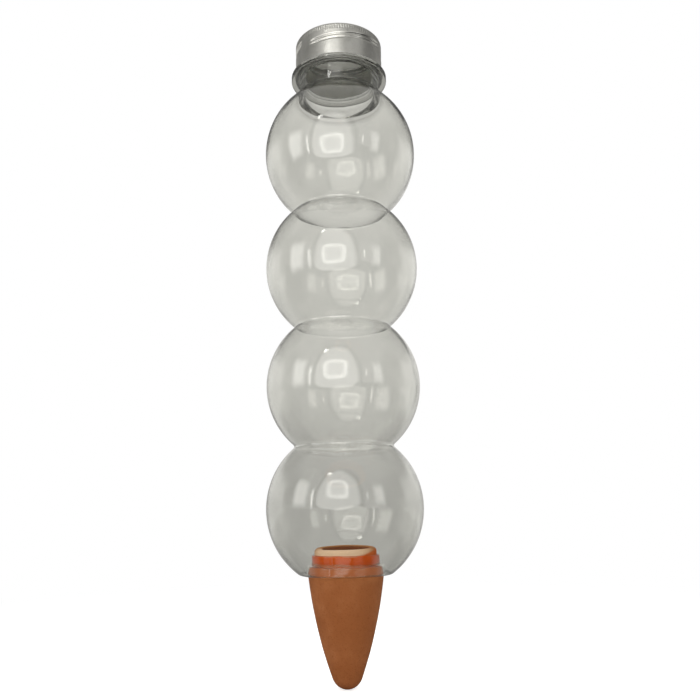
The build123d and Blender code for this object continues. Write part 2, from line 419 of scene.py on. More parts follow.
@dataclass(frozen=True)
class ClayFinish(Finish):
    """Fired clay: mottled brown orange, wet orange behind the sealant, dry and pale at the rim."""

    name: str = "fired_terracotta"
    brown: Colour = srgb(152, 90, 50)
    orange: Colour = srgb(166, 103, 62)
    patches: Pattern = Pattern(55.0, 3.0, (0.38, 0.66))
    dust: Colour = srgb(178, 122, 84)
    dusting: Pattern = Pattern(110.0, 4.0, (0.56, 0.74))
    dust_share: Point = (0.0, 0.4)
    speck: Colour = srgb(112, 62, 34)
    specks: Pattern = Pattern(1400.0, 3.0, (0.5, 0.72))
    speck_share: float = 0.3
    # Painted light: the clay is lighter and pinker from the shoulder up, standing in for the haze of the
    # plastic base in front of it.
    painted_haze: Colour = srgb(206, 118, 70)
    painted_haze_rise: Ramp = ((0.0001, 0.0007), (0.0, 0.85))
    wet: Colour = srgb(234, 94, 0)
    wet_foot: Point = (0.0039, 0.0049)
    wet_top: Point = (0.0068, 0.0078)
    wander: float = 0.0022
    wander_scale: float = 70.0
    film: Colour = srgb(196, 98, 42)
    film_foot: Point = (0.0073, 0.0079)
    film_side: float = math.radians(20.0)
    film_climb: Ramp = ((-0.2, 1.0), (0.0, 0.0026))
    pale: Colour = srgb(238, 205, 172)
    bare: Colour = srgb(176, 124, 76)
    rim_share: Point = (0.0, 0.95)
    worn_side: float = WORN_SIDE
    worn_reach: Point = (0.0, 0.9)
    # Painted shade: the plug's hollow, inside this radius, is a darker clay colour.
    inside: Colour = srgb(128, 78, 50)
    hollow: Point = (0.0090, 0.0096)
    gloss: Point = (0.78, 0.9)
    specular: float = 0.12
    pore_scale: float = 2200.0
    pore_depth: float = 0.00010
    grit_scale: float = 420.0
    grit_depth: float = 0.00022

    def material(self) -> bpy.types.Material:
        """Makes the clay material, with its bands placed by height.

        Returns:
            The finished material.
        """
        recipe = Recipe.named(self.name)
        radius, turn, height = recipe.round_axis()
        sway = recipe.calc("SUBTRACT", recipe.grain(self.wander_scale, 2.0), 0.5)
        level = recipe.calc("ADD", height, recipe.times(sway, self.wander))
        specks = recipe.pattern(self.specks)
        body = recipe.blend(recipe.pattern(self.patches), self.brown, self.orange)
        body = recipe.blend(recipe.pattern(self.dusting, self.dust_share), body, self.dust)
        body = recipe.blend(recipe.times(specks, self.speck_share), body, self.speck)
        offs = [recipe.calc("SUBTRACT", turn, side) for side in (self.worn_side, self.film_side)]
        worn, filmed = (recipe.calc("COSINE", off) for off in offs)
        smear = recipe.calc("SUBTRACT", level, recipe.between(filmed, *self.film_climb))
        soaked = recipe.times(
            recipe.between(level, self.wet_foot), recipe.between(smear, self.wet_top, FALLING)
        )
        wet = recipe.blend(recipe.between(height, self.film_foot), self.wet, self.film)
        rim = recipe.blend(recipe.between(worn, self.worn_reach), self.bare, self.pale)
        # Painted light: lighter, pinker clay from the shoulder up, for the plastic base's haze.
        colour = recipe.blend(recipe.between(height, *self.painted_haze_rise), body, self.painted_haze)
        colour = recipe.blend(soaked, colour, wet)
        colour = recipe.blend(recipe.between(smear, self.wet_top, self.rim_share), colour, rim)
        # Painted shade: darker clay inside the plug's hollow, above the base.
        hollow = recipe.times(
            recipe.between(radius, self.hollow, FALLING), recipe.calc("GREATER_THAN", height, 0.0)
        )
        pores = recipe.relief(recipe.grain(self.pore_scale, 3.0), self.pore_depth)
        surface = recipe.principled(
            {
                "Base Color": recipe.blend(hollow, colour, self.inside),
                "Roughness": recipe.between(specks, RISING, self.gloss),
                "Specular IOR Level": self.specular,
                "Normal": recipe.relief(recipe.grain(self.grit_scale, 4.0), self.grit_depth, pores),
            }
        )
        return recipe.finish(surface)


@dataclass(frozen=True)
class AluminiumFinish(Finish):
    """Rolled aluminium sheet, satin, with fine lines round the axis and slight staining."""

    name: str = "rolled_aluminium"
    light: Colour = (0.70, 0.695, 0.665)
    dark: Colour = (0.58, 0.575, 0.545)
    stains: Pattern = Pattern(160.0, 4.0, (0.4, 0.7))
    line_scale: float = 5200.0
    line_range: Point = (0.3, 0.7)
    line_depth: float = 0.000012
    line_run: float = 0.0009
    gloss: Point = (0.30, 0.42)

    def material(self) -> bpy.types.Material:
        """Makes the metal, with lines that run round the piece.

        Returns:
            The finished material.
        """
        recipe = Recipe.named(self.name)
        radius, turn, height = recipe.round_axis()
        sides = {"X": recipe.times(turn, self.line_run), "Y": radius, "Z": height}
        around = recipe.node("ShaderNodeCombineXYZ", sides).outputs["Vector"]
        lines = recipe.grain(self.line_scale, 2.0, around)
        surface = recipe.principled(
            {
                "Base Color": recipe.blend(recipe.pattern(self.stains), self.light, self.dark),
                "Metallic": 1.0,
                "Roughness": recipe.between(lines, self.line_range, self.gloss),
                "Normal": recipe.relief(lines, self.line_depth),
            }
        )
        return recipe.finish(surface)


@dataclass(frozen=True)
class FoamFinish(Finish):
    """The liner's grey closed foam."""

    name: str = "liner_foam"
    light: Colour = (0.72, 0.72, 0.70)
    dark: Colour = (0.62, 0.62, 0.60)
    shade_scale: float = 300.0
    cell_scale: float = 2600.0
    cell_range: Point = (0.0, 0.8)
    cell_depth: float = 0.00003
    gloss: Point = (0.5, 0.7)

    def material(self) -> bpy.types.Material:
        """Makes the foam, with fine cells.

        Returns:
            The finished material.
        """
        recipe = Recipe.named(self.name)
        pattern = recipe.node("ShaderNodeTexVoronoi", {"Vector": recipe.place, "Scale": self.cell_scale})
        cells = pattern.outputs["Distance"]
        surface = recipe.principled(
            {
                "Base Color": recipe.blend(recipe.grain(self.shade_scale, 3.0), self.light, self.dark),
                "Roughness": recipe.between(cells, self.cell_range, self.gloss),
                "Normal": recipe.relief(cells, self.cell_depth),
            }
        )
        return recipe.finish(surface)


PLASTIC = ClearFinish(
    name="clear_plastic",
    tint=(0.92, 0.921, 0.90),
    haze=(0.89, 0.891, 0.87),
    clear=(0.97, 0.975, 0.96),
    absorbed=(0.50, 0.51, 0.47),
    density=40.0,
    ior=1.57,
    gloss=(0.015, 0.05),
    ripple=110.0,
    ripple_depth=0.00009,
    passed=(0.97, 0.97, 0.965),
)
SEALANT = ClearFinish(
    name="clear_sealant",
    tint=(0.97, 0.96, 0.94),
    haze=(0.95, 0.94, 0.91),
    clear=(0.97, 0.96, 0.94),
    absorbed=(0.8, 0.75, 0.6),
    density=60.0,
    ior=1.12,
    gloss=(0.04, 0.12),
    ripple=300.0,
    ripple_depth=0.00012,
    passed=(0.985, 0.98, 0.97),
)


@dataclass
class Thread:
    """A three-start thread round the neck or in the cap."""

    starts: int = 3
    lead: float = 0.009525
    span: float = math.radians(150.0)
    first_angle: float = math.radians(179.0)
    lower_end: float = 0.0
    height: float = 0.00115
    crest: float = 0.0008
    foot: float = 0.0014
    run_out: float = math.radians(14.0)
    bead: float = 0.0

    def lift(self, angle: np.ndarray, height: np.ndarray) -> np.ndarray:
        """Gives how far the thread stands out.

        Args:
            angle: Angle of each point round the axis.
            height: Height of each point.

        Returns:
            The thread's height at each point.
        """
        lift = np.zeros_like(angle)
        for start in range(self.starts):
            turn = (angle - self.first_angle - start * math.tau / self.starts) % math.tau
            across = np.abs(height - self.lower_end - self.lead * turn / math.tau)
            side = smooth((self.foot / 2 - across) / ((self.foot - self.crest) / 2))
            ends = smooth(np.minimum(turn, self.span - turn) / self.run_out)
            middle = 1.0 - self.bead * smooth(1.0 - 2.0 * across / self.crest)
            lift = np.maximum(lift, self.height * side * ends * middle)
        return lift


@dataclass
class Part(ABC):
    """A turned piece that stands for one node of the frame."""

    name: ClassVar[str]
    node: ClassVar[str]
    body: ClassVar[Body]
    slot: ClassVar[Slot]
    finish: ClassVar[Finish]
    crisp: ClassVar[float] = 40.0
    steps: int = 128
    radius: float = field(init=False)
    foot: float = field(init=False)
    top: float = field(init=False)

    def __post_init__(self) -> None:
        """Takes the piece's reach from the frame."""
        low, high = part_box(self.node)
        self.radius, self.foot, self.top = high.x, low.z, high.z

    @abstractmethod
    def outline(self) -> list[Point]:
        """Draws the half section."""

    def reshape(self, angle: np.ndarray, radius: np.ndarray, height: np.ndarray) -> Moved:
        """Gives each point's new radius and height; a plain piece stays as it was turned."""
        return radius, height

    def press(self, piece: bpy.types.Object) -> None:
        """Moves the turned points in or out, up or down.

        Args:
            piece: The turned piece.
        """
        mesh = piece.data
        places = np.empty(len(mesh.vertices) * 3)
        mesh.vertices.foreach_get("co", places)
        places = places.reshape(-1, 3)
        angle = np.arctan2(places[:, 1], places[:, 0])
        radius = np.hypot(places[:, 0], places[:, 1])
        fresh, places[:, 2] = self.reshape(angle, radius, places[:, 2].copy())
        places[:, 0] = fresh * np.cos(angle)
        places[:, 1] = fresh * np.sin(angle)
        mesh.vertices.foreach_set("co", places.ravel())
        mesh.update()

    def dress(self, piece: bpy.types.Object) -> None:
        """Smooths the piece's shading, apart from crisp edges, and gives it its finish.

        Args:
            piece: The shaped piece.
        """
        bpy.ops.object.select_all(action="DESELECT")
        piece.select_set(True)
        bpy.context.view_layer.objects.active = piece
        bpy.ops.object.shade_smooth_by_angle(angle=math.radians(self.crisp))
        piece.data.materials.clear()
        piece.data.materials.append(self.finish.material())

    def build(self) -> bpy.types.Object:
        """Makes the piece and sets it in the frame in place of its node.

        Returns:
            The finished piece.
        """
        piece = turn_on_lathe(self.name, self.outline(), self.steps)
        self.press(piece)
        self.dress(piece)
        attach(piece, self.body.value)
        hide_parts(self.node)
        return piece


@dataclass
class Bottle(Part):
    """The clear moulding: four bulbs, a base with a collar, the neck, its flange and its thread."""

    name = "bottle_moulding"
    node = "bottle"
    body = Body.BOTTLE
    slot = Slot.PLASTIC
    finish = PLASTIC
    steps: int = 208
    bulb_radii: tuple[float, ...] = (0.0314, 0.0315, 0.0319, 0.0324)
    waist_radii: tuple[float, ...] = (0.0197, 0.01935, 0.0192)
    wall: float = 0.00025
    waist_round: float = 0.0010
    base_radius: float = 0.0183
    base_round: float = 0.0020
    foot_round: float = 0.0005
    recess_radius: float = 0.0153
    recess_depth: float = 0.0035
    collar_bore: float = 0.0127
    collar_radius: float = 0.0134
    collar_height: float = 0.0076
    collar_rim_round: float = 0.00025
    collar_foot_rounds: Point = (0.0003, 0.0004)
    neck_radius: float = 0.01745
    bore_radius: float = 0.01535
    neck_round: float = 0.0020
    bore_round: float = 0.0030
    flange_radius: float = 0.0211
    flange_thickness: float = 0.0024
    flange_round: float = 0.0004
    flange_root: float = 0.0003
    finish_foot: float = 0.0006
    finish_height: float = 0.01405
    land_round: float = 0.0005
    land_edges: Point = (0.00049, 0.0003)
    land_depth: float = 0.002
    thread_drop: float = 0.0016
    bulb_steps: int = 36
    round_steps: int = 8
    throat_steps: int = 9
    edge_steps: int = 5
    flange_steps: int = 6
    finish_rows: int = 48
    bore_rows: int = 8
    flow_depth: float = 0.00003
    flow_waves: tuple[tuple[float, ...], ...] = ((1.0, 5, 1.3, 60), (0.8, 9, 4.1, -45), (0.5, 16, 2.2, 25))
    centres: list[float] = field(init=False)
    thread: Thread = field(init=False)

    def __post_init__(self) -> None:
        """Works out the bulbs' heights and the thread from the sizes and the frame."""
        super().__post_init__()
        widest = min(self.radius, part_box(self.node)[1].y)
        self.bulb_radii = (*self.bulb_radii[:-1], widest)
        self.centres = [self.chord(self.bulb_radii[0], self.base_radius)]
        for ring, low, high in zip(self.waist_radii, self.bulb_radii, self.bulb_radii[1:]):
            self.centres.append(self.centres[-1] + self.chord(low, ring) + self.chord(high, ring))
        self.thread = Thread()
        rise = self.thread.lead * self.thread.span / math.tau
        self.thread.lower_end = self.top - self.thread_drop - rise

    @staticmethod
    def chord(sphere: float, ring: float) -> float:
        """Gives the distance from a sphere's centre to the plane of a ring on it."""
        return math.sqrt(sphere**2 - ring**2)

    @property
    def flange_top(self) -> float:
        """Height of the flange's upper face."""
        return self.top - self.finish_height

    @property
    def collar_rim(self) -> Point:
        """The point in the middle of the collar's rim, where the section starts and ends."""
        return (self.collar_bore + self.collar_radius) / 2, self.collar_height

    def waist(self, index: int, inset: float, blend: float) -> tuple[Point, float, float]:
        """Fits the round between two bulbs.

        Args:
            index: The lower bulb's place in the row.
            inset: How far the surface lies inside the outer one.
            blend: Radius of the round.

        Returns:
            The round's centre, and the angles where it meets the lower and the upper bulb.
        """
        low, high = self.centres[index], self.centres[index + 1]
        reach_low = self.bulb_radii[index] - inset + blend
        reach_high = self.bulb_radii[index + 1] - inset + blend
        apart = high - low
        up = (reach_low**2 - reach_high**2 + apart**2) / (2 * apart)
        out = math.sqrt(reach_low**2 - up**2)
        lower = math.degrees(math.atan2(up, out))
        upper = math.degrees(math.atan2(up - apart, out))
        return (out, low + up), lower, upper

    def bulbs(self, inset: float, first: float, last: float) -> list[Point]:
        """Draws one face of the bulbs' wall from the bottom to the top.

        Args:
            inset: How far the face lies inside the outer one.
            first: Angle where the bottom bulb starts, in degrees.
            last: Angle where the top bulb ends, in degrees.

        Returns:
            The face's points.
        """
        blend = self.waist_round + inset
        chain: list[Point] = []
        start = first
        for index, (centre, radius) in enumerate(zip(self.centres, self.bulb_radii)):
            top = index == len(self.centres) - 1
            ring, lower, upper = ((0.0, 0.0), last, 0.0) if top else self.waist(index, inset, blend)
            chain += arc((0.0, centre), radius - inset, start, lower, self.bulb_steps)
            if not top:
                chain += arc(ring, blend, 180.0 + lower, 180.0 + upper, self.round_steps)[1:-1]
            start = upper
        return chain

    def throat(self, inset: float, tube: float, blend: float) -> tuple[float, list[Point]]:
        """Fits the round between the top bulb and the neck.

        Args:
            inset: How far the face lies inside the outer one.
            tube: Radius of the neck's face.
            blend: Radius of the round.

        Returns:
            The angle where the top bulb ends, and the round's points upwards.
        """
        up = self.chord(self.bulb_radii[-1] - inset + blend, tube + blend)
        angle = math.degrees(math.atan2(up, tube + blend))
        centre = (tube + blend, self.centres[-1] + up)
        return angle, arc(centre, blend, 180.0 + angle, 180.0, self.throat_steps)[1:]

    def base_corner(self) -> tuple[Point, float]:
        """Fits the round at the base's edge.

        Returns:
            The round's centre, and the angle where it meets the bottom bulb.
        """
        drop = self.base_round - self.centres[0]
        across = self.chord(self.bulb_radii[0] - self.base_round, drop)
        return (across, self.base_round), math.degrees(math.atan2(drop, across))

    def outside(self) -> list[Point]:
        """Draws the outer face from the collar's rim down, round the base and up to the land.

        Returns:
            The points in order.
        """
        corner, corner_angle = self.base_corner()
        base = rounded(
            [
                self.collar_rim,
                (self.collar_bore, self.collar_height),
                (self.collar_bore, self.recess_depth),
                (self.recess_radius, self.recess_depth),
                (self.recess_radius, 0.0),
                (corner[0], 0.0),
            ],
            [self.collar_rim_round, self.collar_foot_rounds[0], self.foot_round, self.foot_round],
            self.edge_steps,
        )
        base += arc(corner, self.base_round, -90.0, corner_angle, self.round_steps)[1:]
        angle, neck = self.throat(0.0, self.neck_radius, self.neck_round)
        under = self.flange_top - self.flange_thickness
        flange = rounded(
            [
                neck[-1],
                (self.neck_radius, under),
                (self.flange_radius, under),
                (self.flange_radius, self.flange_top),
                (self.neck_radius, self.flange_top),
                (self.neck_radius, self.flange_top + self.finish_foot),
            ],
            [self.flange_root, self.flange_round, self.flange_round, self.flange_root],
            self.flange_steps,
        )
        finish = rows(flange[-1], (self.neck_radius, self.top - self.land_round), self.finish_rows)
        wall = self.bulbs(0.0, corner_angle, angle)
        return base + wall[1:] + neck + flange[1:] + finish[1:]

    def inside(self) -> list[Point]:
        """Draws the inner face from the land down through the bulbs to the collar's rim.

        Returns:
            The points in order.
        """
        angle, neck = self.throat(self.wall, self.bore_radius, self.bore_round)
        corner, corner_angle = self.base_corner()
        wall = self.bulbs(self.wall, corner_angle, angle)
        edge = arc(corner, self.base_round - self.wall, corner_angle, -90.0, self.round_steps)
        step = self.recess_radius + self.wall
        shelf = self.recess_depth + self.wall
        inner_rounds = [self.foot_round - self.wall, self.foot_round + self.wall]
        base = rounded(
            [
                edge[-1],
                (step, self.wall),
                (step, shelf),
                (self.collar_radius, shelf),
                (self.collar_radius, self.collar_height),
                self.collar_rim,
            ],
            [*inner_rounds, self.collar_foot_rounds[1], self.collar_rim_round],
            self.edge_steps,
        )
        land = rounded(
            [
                (self.neck_radius, self.top - self.land_round),
                (self.neck_radius, self.top),
                (self.bore_radius, self.top),
                (self.bore_radius, self.top - self.land_depth),
            ],
            list(self.land_edges),
            self.edge_steps,
        )
        bore = rows(land[-1], neck[-1], self.bore_rows)
        return land[1:] + bore[1:] + neck[::-1][1:] + wall[::-1] + edge[1:] + base[1:]

    def outline(self) -> list[Point]:
        """Draws the closed wall, outer face first."""
        return self.outside() + self.inside()

    def reshape(self, angle: np.ndarray, radius: np.ndarray, height: np.ndarray) -> Moved:
        """Raises the neck's thread and lets the inner wall flow unevenly.

        Args:
            angle: Angle of each point round the axis.
            radius: Radius of each point.
            height: Height of each point.

        Returns:
            Each point's new radius and height.
        """
        on_neck = np.abs(radius - self.neck_radius) < NEAR
        on_finish = on_neck & (height > self.flange_top + self.finish_foot)
        fresh = radius + np.where(on_finish, self.thread.lift(angle, height), 0.0)
        reach = np.clip((radius - self.collar_radius) / self.collar_radius, 0.0, 1.0)
        flow = sum(
            share * np.sin(count * angle + phase + climb * height)
            for share, count, phase, climb in self.flow_waves
        )
        for centre, bulb in zip(self.centres, self.bulb_radii):
            off = np.hypot(radius, height - centre)
            inner = np.abs(off - (bulb - self.wall)) < NEAR
            fresh = fresh + np.where(inner, self.flow_depth * reach * flow, 0.0)
        return fresh, height


@dataclass
class Spike(Part):
    """The clay spike: a rounded point, a shoulder under the base and a plug inside it."""

    name = "clay_spike"
    node = "terracotta_spike"
    body = Body.BOTTLE
    slot = Slot.CLAY
    finish = ClayFinish()
    crisp = 50.0
    steps: int = 144
    shoulder_radius: float = 0.01495
    ogive_radius: float = 0.165
    tip_radius: float = 0.0062
    clay_wall: float = 0.0035
    shoulder_height: float = 0.0031
    shoulder_inset: float = 0.0009
    shoulder_round: float = 0.0005
    plug_radius: float = 0.0123
    plug_root: float = 0.0003
    rim_round: float = 0.0015
    throat_drop: float = 0.0013
    throat_slope: float = 0.0026
    throat_round: float = 0.0006
    tip_steps: int = 14
    ogive_steps: int = 56
    edge_steps: int = 7
    rough_depth: float = 0.00016
    rough_scales: Point = (90.0, 420.0)
    rough_shares: Point = (0.7, 0.3)
    calm_radius: float = 0.004
    rim_wear: float = 0.0010
    rim_reach: float = 0.003
    rim_sway: Point = (0.8, 0.4)
    worn_side: float = WORN_SIDE

    def point(self, inset: float, top: float) -> list[Point]:
        """Draws the point's face from the tip up to a height.

        Args:
            inset: How far the face lies inside the outer one.
            top: Height where the face ends.

        Returns:
            The face's points.
        """
        tip = Vector((0.0, self.tip_radius + self.foot))
        shoulder = Vector((self.shoulder_radius, 0.0))
        gap = tip - shoulder
        reach = self.ogive_radius - self.tip_radius
        along = (self.ogive_radius**2 - reach**2 + gap.length_squared) / (2 * gap.length)
        across = math.sqrt(self.ogive_radius**2 - along**2)
        towards = gap.normalized()
        centre = shoulder + towards * along + Vector((towards.y, -towards.x)) * across
        radius = self.ogive_radius - inset
        joint = math.degrees(math.atan2(tip.y - centre.y, tip.x - centre.x))
        end = math.degrees(math.asin((top - centre.y) / radius))
        tip_face = arc((tip.x, tip.y), self.tip_radius - inset, -90.0, joint, self.tip_steps)
        return tip_face + arc((centre.x, centre.y), radius, joint, end, self.ogive_steps)[1:]

    def outline(self) -> list[Point]:
        """Draws the outer face from the tip up, over the rim and down the hollow.

        Returns:
            The points in order.
        """
        mouth = self.plug_radius - self.clay_wall
        hollow = self.point(self.clay_wall, -self.throat_drop - self.throat_slope)
        outer = self.point(0.0, 0.0)
        plug = rounded(
            [
                outer[-1],
                (self.shoulder_radius - self.shoulder_inset, self.shoulder_height),
                (self.plug_radius, self.shoulder_height),
                (self.plug_radius, self.top),
                (mouth, self.top),
                (mouth, -self.throat_drop),
                hollow[-1],
            ],
            [self.shoulder_round, self.plug_root, self.rim_round, self.rim_round, self.throat_round],
            self.edge_steps,
        )
        return outer + plug[1:-1] + hollow[::-1]

    def reshape(self, angle: np.ndarray, radius: np.ndarray, height: np.ndarray) -> Moved:
        """Wears the clay a little unevenly, always inwards, and the rim lower on one side.

        Args:
            angle: Angle of each point round the axis.
            radius: Radius of each point.
            height: Height of each point.

        Returns:
            Each point's new radius and height.
        """
        places = np.stack([radius * np.cos(angle), radius * np.sin(angle), height], axis=1)
        broad, fine = (
            np.array([noise.noise(Vector(place) * scale) for place in places]) for scale in self.rough_scales
        )
        wear = self.rough_shares[0] * (0.5 + 0.5 * broad) + self.rough_shares[1] * (0.5 + 0.5 * fine)
        outer = np.clip(radius / self.calm_radius, 0.0, 1.0)
        fresh = radius - self.rough_depth * np.clip(wear, 0.0, 1.0) * outer
        rim = smooth((height - self.top + self.rim_reach) / self.rim_reach)
        side = 0.5 + 0.5 * np.cos(angle - self.worn_side)
        return fresh, height - self.rim_wear * rim * side * (self.rim_sway[0] + self.rim_sway[1] * broad)


@dataclass
class Seal(Part):
    """The clear sealant: a washer on the clay's shoulder and a sleeve up the plug."""

    name = "sealant_sleeve"
    node = "spike_seal"
    body = Body.BOTTLE
    slot = Slot.SEALANT
    finish = SEALANT
    clay_radius: float = 0.0121
    sleeve_radius: float = 0.0127
    skin: float = 0.00003
    washer: float = 0.0004
    lip_round: float = 0.00012
    edge_round: float = 0.0001
    edge_steps: int = 4

    def outline(self) -> list[Point]:
        """Draws the section as one closed loop that wets the clay and the plastic.

        Returns:
            The points in order.
        """
        inner = self.clay_radius
        outer = self.sleeve_radius + self.skin
        lower = self.foot - self.skin
        upper = self.foot + self.washer + self.skin
        middle = ((inner + outer) / 2, self.top)
        return rounded(
            [
                middle,
                (inner, self.top),
                (inner, lower),
                (self.radius, lower),
                (self.radius, upper),
                (outer, upper),
                (outer, self.top),
                middle,
            ],
            [self.lip_round, *[self.edge_round] * 4, self.lip_round],
            self.edge_steps,
        )


@dataclass
class Cap(Part):
    """The drawn sheet cap with its knurled upper edge and rolled thread."""

    name = "screw_cap_sheet"
    node = "screw_cap"
    body = Body.CAP
    slot = Slot.ALUMINIUM
    finish = AluminiumFinish()
    crisp = 45.0
    sheet: float = 0.00035
    edge_round: float = 0.0013
    hem_round: float = 0.00012
    knurls: int = 108
    knurl_height: float = 0.0017
    knurl_depth: float = 0.00012
    knurl_lap: float = 0.0002
    knurl_fade: float = 0.0003
    knurl_skin: float = 0.6
    points_to_a_knurl: int = 6
    groove_depth: float = 0.00045
    groove_floor: float = 0.0016
    groove_mouth: float = 0.0030
    groove_bead: float = 0.8
    groove_span: float = math.radians(110.0)
    groove_delay: float = math.radians(49.0)
    panel_rows: int = 10
    wall_rows: int = 58
    back_rows: int = 40
    lid_rows: int = 6
    edge_steps: tuple[int, int] = (8, 6)
    hem_steps: int = 3
    thread: Thread = field(init=False)

    def __post_init__(self) -> None:
        """Takes the cap's reach from the frame, and its thread from the neck's."""
        super().__post_init__()
        self.steps = self.knurls * self.points_to_a_knurl
        neck = Bottle().thread
        lower_end = neck.lower_end + neck.lead * (self.groove_delay / math.tau - 0.5 / neck.starts)
        self.thread = Thread(
            span=self.groove_span,
            first_angle=neck.first_angle + self.groove_delay,
            lower_end=lower_end,
            height=self.groove_depth,
            crest=self.groove_floor,
            foot=self.groove_mouth,
            bead=self.groove_bead,
        )

    def outline(self) -> list[Point]:
        """Draws the sheet's section from the top's centre, down the side and back inside.

        Returns:
            The points in order.
        """
        inner = self.radius - self.sheet
        ceiling = self.top - self.sheet
        turn = (self.radius - self.edge_round, self.top - self.edge_round)
        outer_arc = arc(turn, self.edge_round, 90.0, 0.0, self.edge_steps[0])
        inner_arc = arc(turn, self.edge_round - self.sheet, 0.0, 90.0, self.edge_steps[1])
        hem_top = self.foot + self.hem_round
        panel = rows((0.0, self.top), outer_arc[0], self.panel_rows)
        wall = rows(outer_arc[-1], (self.radius, hem_top), self.wall_rows)
        hem = arc((self.radius - self.hem_round, hem_top), self.hem_round, 0.0, -90.0, self.hem_steps)
        hem += arc((inner + self.hem_round, hem_top), self.hem_round, -90.0, -180.0, self.hem_steps)
        back = rows((inner, hem_top), inner_arc[0], self.back_rows)
        lid = rows(inner_arc[-1], (0.0, ceiling), self.lid_rows)
        return panel + outer_arc[1:] + wall[1:] + hem[1:] + back[1:] + inner_arc[1:] + lid[1:]

    def reshape(self, angle: np.ndarray, radius: np.ndarray, height: np.ndarray) -> Moved:
        """Presses the thread into the sheet and the knurl into its upper edge.

        Args:
            angle: Angle of each point round the axis.
            radius: Radius of each point.
            height: Height of each point.

        Returns:
            Each point's new radius and height.
        """
        knurl_top = self.top - self.edge_round
        on_side = (radius > self.radius - self.sheet - NEAR) & (height < knurl_top)
        fresh = radius - np.where(on_side, self.thread.lift(angle, height), 0.0)
        inset = np.minimum(knurl_top + self.knurl_lap - height, height - knurl_top + self.knurl_height)
        band = smooth(inset / self.knurl_fade)
        flute = np.clip(np.cos(self.knurls * angle), 0.0, 1.0)
        outer = radius > self.radius - self.sheet * self.knurl_skin
        return fresh - np.where(outer, self.knurl_depth * band * flute, 0.0), height


@dataclass
class Liner(Part):
    """The soft disc under the cap's panel, with the ring that the neck presses into it."""

    name = "sealing_liner"
    node = "cap_liner"
    body = Body.LINER
    slot = Slot.FOAM
    finish = FoamFinish()
    ring_radius: float = 0.0164
    ring_width: float = 0.0022
    ring_depth: float = 0.00008
    ring_round: float = 0.00005
    edge: float = 0.0002
    edge_steps: int = 4

    def outline(self) -> list[Point]:
        """Draws the section from the top's centre round to the underside's centre.

        Returns:
            The points in order.
        """
        inner, outer = self.ring_radius - self.ring_width / 2, self.ring_radius + self.ring_width / 2
        sunk = self.foot + self.ring_depth
        return rounded(
            [
                (0.0, self.top),
                (self.radius, self.top),
                (self.radius, self.foot),
                (outer, self.foot),
                (outer - self.edge, sunk),
                (inner + self.edge, sunk),
                (inner, self.foot),
                (0.0, self.foot),
            ],
            [self.edge, self.edge, *[self.ring_round] * 4],
            self.edge_steps,
        )


@dataclass
class Panel:
    """A flat studio light that shows in reflections and never in front of the camera."""

    name: str
    centre: Place
    width: float
    height: float
    rim_glow: float
    core_glow: float
    aim: Place = (0.0, 0.0, 0.1)
    squareness: float = 6.0
    spring: float = 0.0
    softness: float = 0.1
    lamp_share: float = 0.8
    core: Point = (0.4, 0.75)

    def glow(self) -> bpy.types.Material:
        """Makes the light's face: an even core with a rim round it, dark at the back.

        Returns:
            The finished material.
        """
        recipe = Recipe.named(self.name)
        x, y, _ = recipe.split(recipe.place)
        line = self.spring * self.height
        rise = recipe.calc("SUBTRACT", y, line)
        across = recipe.calc("DIVIDE", recipe.calc("ABSOLUTE", x), self.width / 2)
        above = recipe.calc("DIVIDE", recipe.calc("MAXIMUM", rise, 0.0), self.height / 2 - line)
        below = recipe.calc("DIVIDE", recipe.calc("MINIMUM", rise, 0.0), -self.height / 2 - line)
        powers = [recipe.calc("POWER", side, self.squareness) for side in (across, above, below)]
        total = recipe.calc("ADD", recipe.calc("ADD", powers[0], powers[1]), powers[2])
        out = recipe.calc("POWER", total, 1.0 / self.squareness)
        level = recipe.between(out, self.core, (self.core_glow, self.rim_glow))
        edge = recipe.between(out, (1.0 - self.softness, 1.0), FALLING)
        front = recipe.calc("SUBTRACT", 1.0, recipe.node("ShaderNodeNewGeometry", {}).outputs["Backfacing"])
        _, mirrored, through = recipe.paths()
        share = recipe.mix(mirrored, self.lamp_share, 1.0)
        shown = mirrored if self.rim_glow == 0.0 else recipe.calc("SUBTRACT", 1.0, through)
        strength = recipe.times(level, recipe.times(front, share))
        light = recipe.node("ShaderNodeEmission", {"Color": WARM_WHITE, "Strength": strength})
        clear = recipe.node("ShaderNodeBsdfTransparent", {})
        lit = recipe.times(edge, shown)
        return recipe.finish(recipe.mix_shaders(lit, clear.outputs["BSDF"], light.outputs["Emission"]))

    def build(self) -> None:
        """Hangs the light, faced at its aim."""
        bpy.ops.object.select_all(action="DESELECT")
        bpy.ops.mesh.primitive_plane_add(size=1.0, location=(0.0, 0.0, 0.0))
        light = bpy.context.object
        light.name = self.name
        bpy.ops.object.mode_set(mode="EDIT")
        bpy.ops.mesh.select_all(action="SELECT")
        bpy.ops.transform.resize(value=(self.width, self.height, 1.0))
        bpy.ops.object.mode_set(mode="OBJECT")
        facing = (Vector(self.aim) - Vector(self.centre)).to_track_quat("Z", "Y")
        light.matrix_world = Matrix.Translation(self.centre) @ facing.to_matrix().to_4x4()
        light.data.materials.append(self.glow())
        light.visible_camera = False


